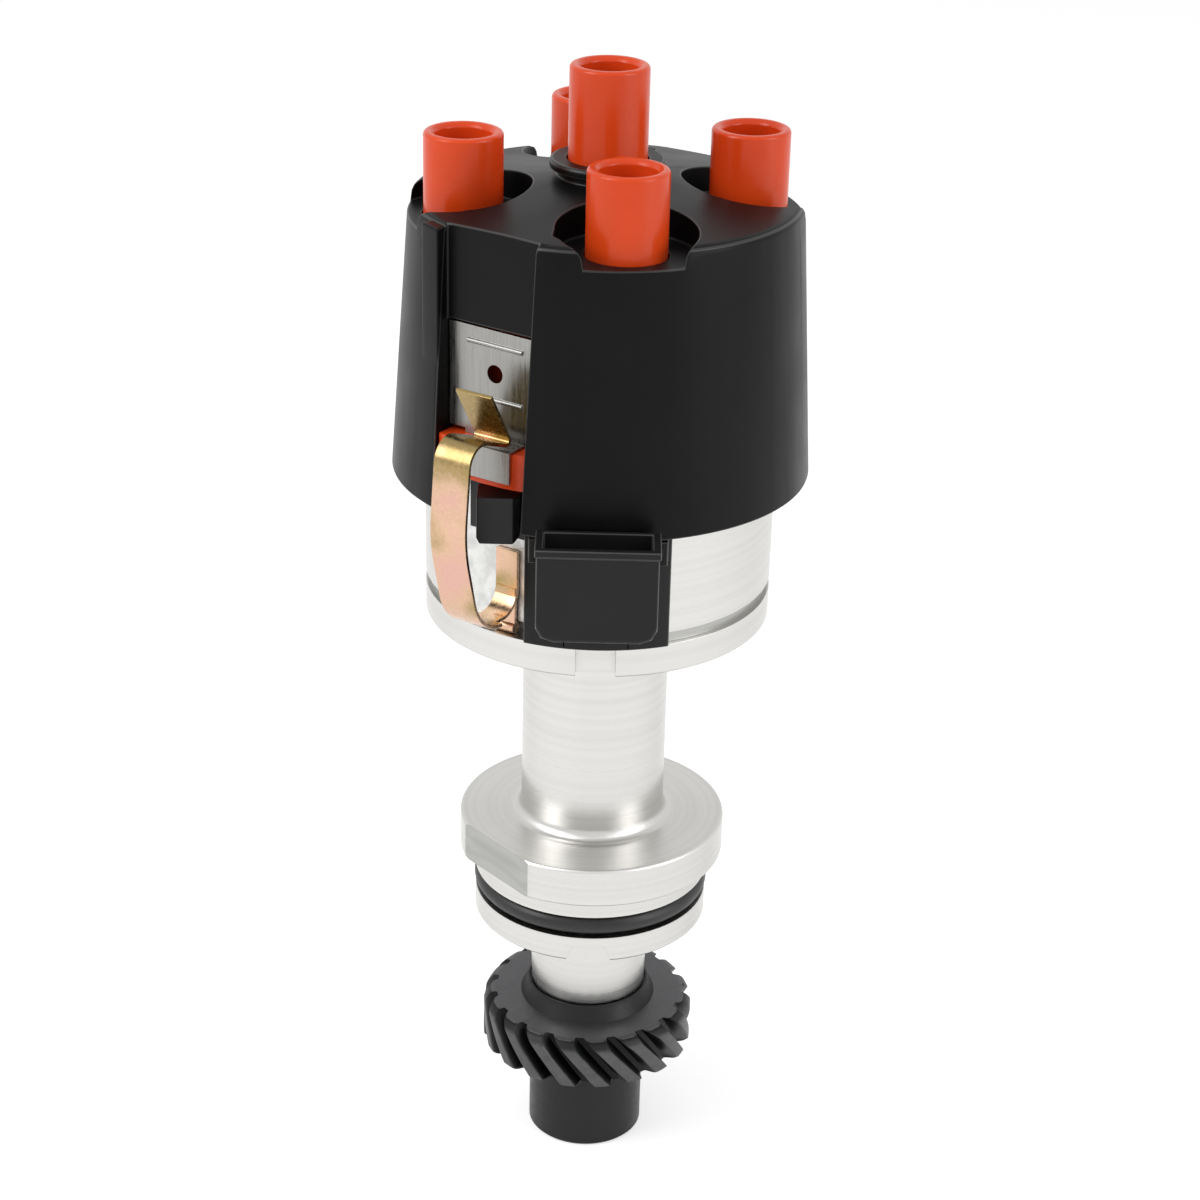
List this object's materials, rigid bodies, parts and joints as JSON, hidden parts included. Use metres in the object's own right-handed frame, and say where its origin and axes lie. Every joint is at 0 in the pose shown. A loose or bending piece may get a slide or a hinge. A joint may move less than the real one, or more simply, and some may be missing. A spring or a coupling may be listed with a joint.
{
  "type": "ignition distributor",
  "caption": "Ignition distributor: turned body with helical drive gear, sealed pilot, lead-tower cap under a screening shell, spring clips and side plug socket.",
  "frame": {"origin": "centre of the collar's underside, where the body rests on the engine, on the shaft axis", "axes": "+Z along the shaft towards the lead towers, -Z into the engine, the connector faces -Y, +X to the right of it"},
  "size_m": [0.0904, 0.1076, 0.2585],
  "materials": {
    "cast_aluminium": "finely turned, bead-blasted in the cast recesses",
    "rubber": "smooth, slightly shiny",
    "sintered_bronze": "dull, porous",
    "ground_steel": "ground",
    "blackened_steel": "black oxide, satin",
    "zinc_plated_steel": "yellow passivated zinc, iridescent",
    "sheet_steel": "rolled, satin",
    "orange_moulding": "semi-gloss moulded",
    "black_moulding": "satin moulded",
    "rotor_moulding": "semi-gloss moulded",
    "brass": "drawn",
    "carbon": "dull graphite"
  },
  "bodies": {
    "body": {"housing": "cast_aluminium", "o_ring": "rubber", "lower_bush": "sintered_bronze", "upper_bush": "sintered_bronze", "lower_thrust_washer": "ground_steel", "upper_thrust_washer": "ground_steel", "sensor_plate": "sheet_steel", "sensor_screws": "ground_steel", "hall_sensor": "black_moulding", "dust_cover": "black_moulding", "side_terminals": "brass", "centre_terminal": "brass", "distributor_cap": "orange_moulding", "brush_spring": "ground_steel", "suppression_shield": "black_moulding", "screen_plate_front": "sheet_steel", "screen_plate_rear": "sheet_steel", "clip_guide_front": "black_moulding", "clip_guide_rear": "black_moulding", "connector_socket": "black_moulding", "connector_pins": "brass"},
    "drive": {"drive_shaft": "ground_steel", "shaft_collar": "ground_steel", "drive_gear": "blackened_steel", "gear_pin": "ground_steel", "trigger_vane": "ground_steel", "circlip": "blackened_steel", "rotor_arm": "rotor_moulding", "rotor_contact": "brass"},
    "front_clip": {"clip_front": "zinc_plated_steel"},
    "rear_clip": {"clip_rear": "zinc_plated_steel"},
    "brush": {"carbon_brush": "carbon"}
  },
  "joints": [
    {"name": "shaft_spin", "type": "hinge", "parent": "body", "child": "drive", "pos_m": [0, 0, 0], "axis": [0, 0, 1], "continuous": true},
    {"name": "clip_front_swing", "type": "hinge", "parent": "body", "child": "front_clip", "pos_m": [-0.01902, -0.03044, 0.0689], "axis": [0.848, -0.5299, 0], "range_deg": [0, 60]},
    {"name": "clip_rear_swing", "type": "hinge", "parent": "body", "child": "rear_clip", "pos_m": [0.01902, 0.03044, 0.0689], "axis": [-0.848, 0.5299, 0], "range_deg": [0, 60]},
    {"name": "brush_slide", "type": "slide", "parent": "body", "child": "brush", "axis": [0, 0, 1], "range_m": [0, 0.0015], "stiffness_N_per_m": 100, "springref_m": -0.003, "deforming": ["brush_spring"]}
  ]
}
